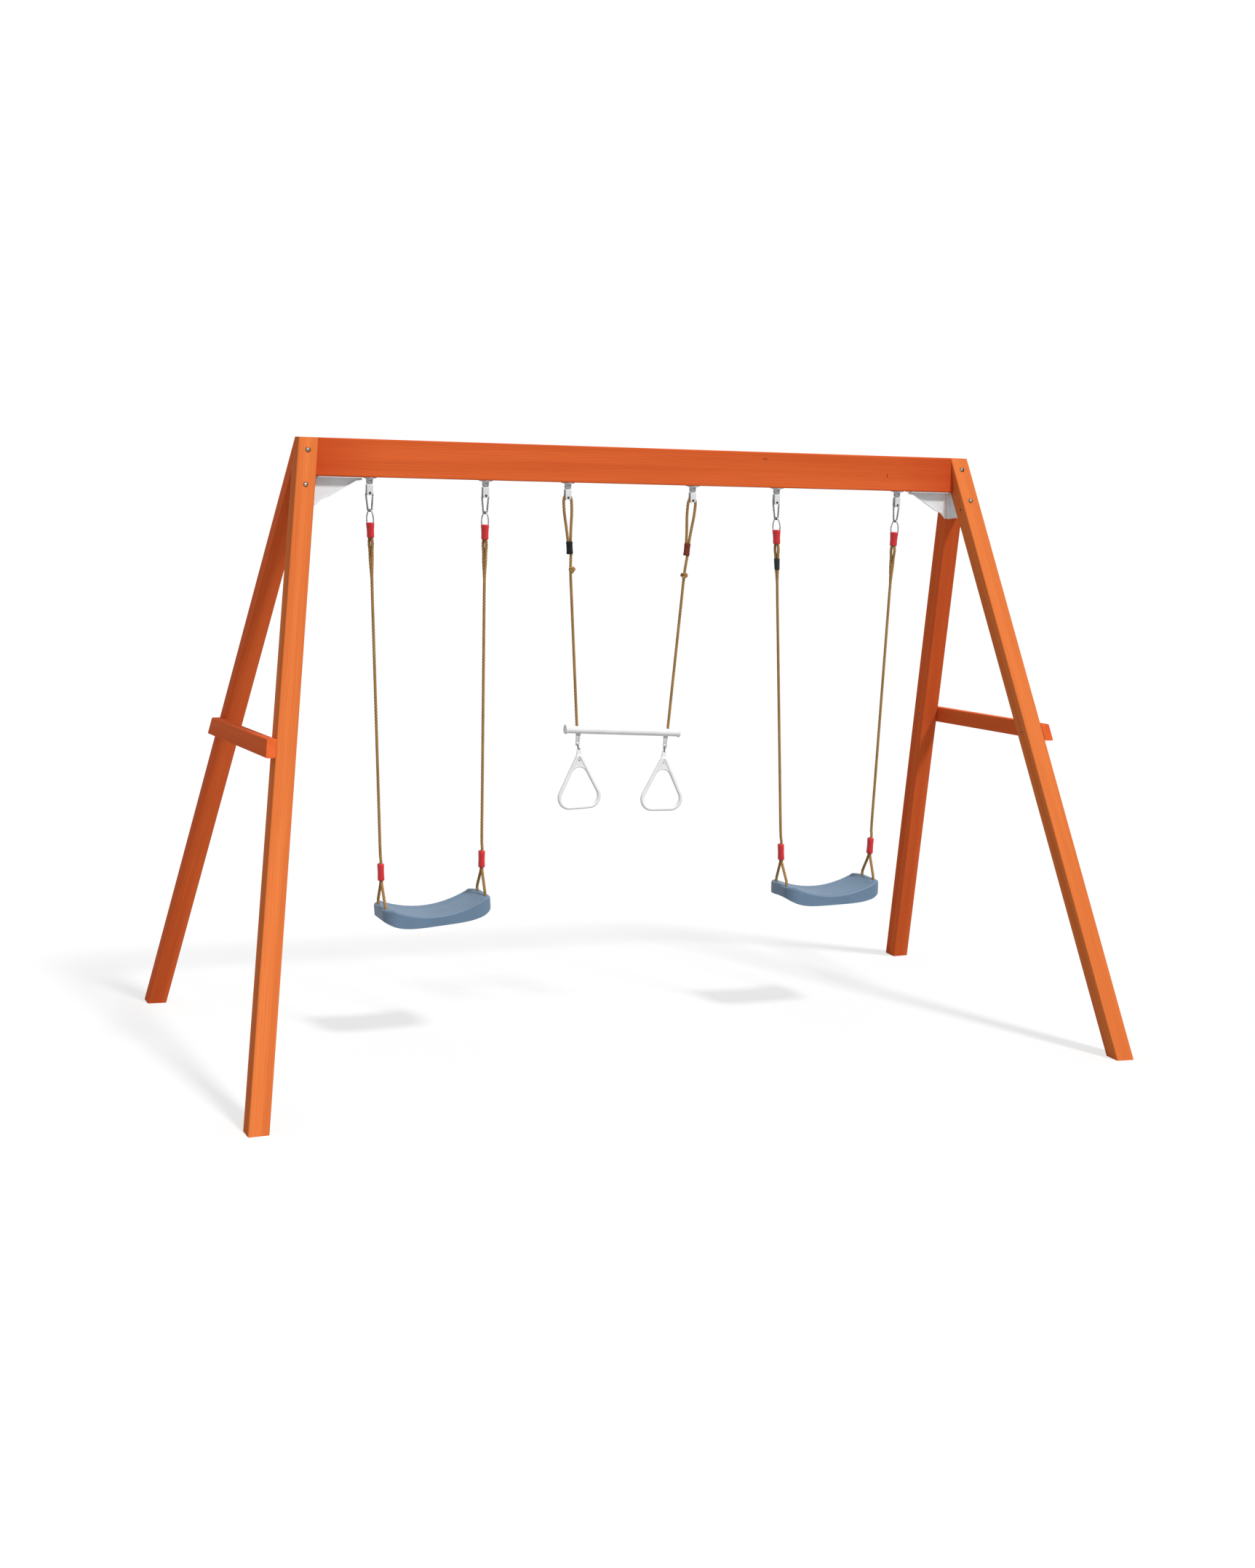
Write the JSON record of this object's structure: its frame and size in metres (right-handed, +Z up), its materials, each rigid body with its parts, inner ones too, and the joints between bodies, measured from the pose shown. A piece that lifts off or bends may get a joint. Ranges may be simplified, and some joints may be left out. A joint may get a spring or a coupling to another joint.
{
  "type": "wooden swing set",
  "caption": "Timber A-frame swing stand with two sling-shaped seats on ropes and a trapeze bar that carries a pair of ring grips.",
  "frame": {"origin": "on the ground, under the middle of the beam", "axes": "+X along the beam, +Z up, -Y towards the front of the swing set, the side that the picture shows"},
  "size_m": [3.3592, 1.7964, 2.2],
  "materials": {
    "stained_timber": "satin, translucent orange-brown stain",
    "white_painted_steel": "smooth white paint",
    "zinc_steel": "zinc plated",
    "red_plastic": "satin",
    "blue_plastic": "satin",
    "white_plastic": "satin",
    "tan_rope": "laid fibre"
  },
  "bodies": {
    "stand": {"beam": "stained_timber", "front_left_bracket_bolt": "zinc_steel", "front_left_leg": "stained_timber", "front_right_bracket_bolt": "zinc_steel", "front_right_leg": "stained_timber", "left_apex_bolt": "zinc_steel", "left_brace": "stained_timber", "left_corner_bracket": "white_painted_steel", "left_swing_left_hanger_base": "white_painted_steel", "left_swing_right_hanger_base": "white_painted_steel", "rear_left_bracket_bolt": "zinc_steel", "rear_left_leg": "stained_timber", "rear_right_bracket_bolt": "zinc_steel", "rear_right_leg": "stained_timber", "right_apex_bolt": "zinc_steel", "right_brace": "stained_timber", "right_corner_bracket": "white_painted_steel", "right_swing_left_hanger_base": "white_painted_steel", "right_swing_right_hanger_base": "white_painted_steel", "trapeze_left_hanger_base": "white_painted_steel", "trapeze_right_hanger_base": "white_painted_steel"},
    "left_ring": {"left_ring_grip": "white_plastic", "left_ring_link": "zinc_steel"},
    "left_swing": {"left_swing_left_clevis": "white_painted_steel", "left_swing_left_eye_ring": "zinc_steel", "left_swing_left_lower_sleeve": "red_plastic", "left_swing_left_rope": "tan_rope", "left_swing_left_snap_hook": "zinc_steel", "left_swing_left_top_sleeve": "red_plastic", "left_swing_right_clevis": "white_painted_steel", "left_swing_right_eye_ring": "zinc_steel", "left_swing_right_lower_sleeve": "red_plastic", "left_swing_right_rope": "tan_rope", "left_swing_right_snap_hook": "zinc_steel", "left_swing_right_top_sleeve": "red_plastic", "left_swing_seat": "blue_plastic"},
    "left_swing_left_gate": {"left_swing_left_gate": "zinc_steel"},
    "left_swing_right_gate": {"left_swing_right_gate": "zinc_steel"},
    "right_ring": {"right_ring_grip": "white_plastic", "right_ring_link": "zinc_steel"},
    "right_swing": {"right_swing_left_clevis": "white_painted_steel", "right_swing_left_eye_ring": "zinc_steel", "right_swing_left_lower_sleeve": "red_plastic", "right_swing_left_rope": "tan_rope", "right_swing_left_snap_hook": "zinc_steel", "right_swing_left_top_sleeve": "red_plastic", "right_swing_right_clevis": "white_painted_steel", "right_swing_right_eye_ring": "zinc_steel", "right_swing_right_lower_sleeve": "red_plastic", "right_swing_right_rope": "tan_rope", "right_swing_right_snap_hook": "zinc_steel", "right_swing_right_top_sleeve": "red_plastic", "right_swing_seat": "blue_plastic"},
    "right_swing_left_gate": {"right_swing_left_gate": "zinc_steel"},
    "right_swing_right_gate": {"right_swing_right_gate": "zinc_steel"},
    "trapeze": {"trapeze_bar": "white_plastic", "trapeze_left_clevis": "white_painted_steel", "trapeze_left_rope": "tan_rope", "trapeze_right_clevis": "white_painted_steel", "trapeze_right_rope": "tan_rope"}
  },
  "joints": [
    {"name": "left_swing_hinge", "type": "hinge", "parent": "stand", "child": "left_swing", "pos_m": [-0.8495, 0, 2.0525], "axis": [1, 0, 0], "range_deg": [-60, 60]},
    {"name": "right_swing_hinge", "type": "hinge", "parent": "stand", "child": "right_swing", "pos_m": [0.7815, 0, 2.0525], "axis": [1, 0, 0], "range_deg": [-60, 60]},
    {"name": "trapeze_hinge", "type": "hinge", "parent": "stand", "child": "trapeze", "pos_m": [-0.072, 0, 2.0525], "axis": [1, 0, 0], "range_deg": [-60, 60]},
    {"name": "left_ring_hinge", "type": "hinge", "parent": "trapeze", "child": "left_ring", "pos_m": [-0.24993, 0, 1.10309], "axis": [1, 0, 0], "range_deg": [-60, 60]},
    {"name": "right_ring_hinge", "type": "hinge", "parent": "trapeze", "child": "right_ring", "pos_m": [0.10371, 0, 1.08703], "axis": [1, 0, 0], "range_deg": [-60, 60]},
    {"name": "left_swing_left_gate_hinge", "type": "hinge", "parent": "left_swing", "child": "left_swing_left_gate", "pos_m": [-1.05336, 0.00177, 1.96695], "axis": [0.2076, -0.9781, 0.0104], "range_deg": [0, 22], "stiffness_Nm_per_rad": 0.02, "springref_deg": -17.19},
    {"name": "left_swing_right_gate_hinge", "type": "hinge", "parent": "left_swing", "child": "left_swing_right_gate", "pos_m": [-0.62591, 0.00177, 1.96662], "axis": [0.2079, -0.9781, 0.0035], "range_deg": [0, 22], "stiffness_Nm_per_rad": 0.02, "springref_deg": -17.19},
    {"name": "right_swing_left_gate_hinge", "type": "hinge", "parent": "right_swing", "child": "right_swing_left_gate", "pos_m": [0.53442, 0.00177, 1.96713], "axis": [0.2074, -0.9781, 0.0139], "range_deg": [0, 22], "stiffness_Nm_per_rad": 0.02, "springref_deg": -17.19},
    {"name": "right_swing_right_gate_hinge", "type": "hinge", "parent": "right_swing", "child": "right_swing_right_gate", "pos_m": [1.0471, 0.00177, 1.96627], "axis": [0.2078, -0.9781, -0.0054], "range_deg": [0, 22], "stiffness_Nm_per_rad": 0.02, "springref_deg": -17.19}
  ]
}
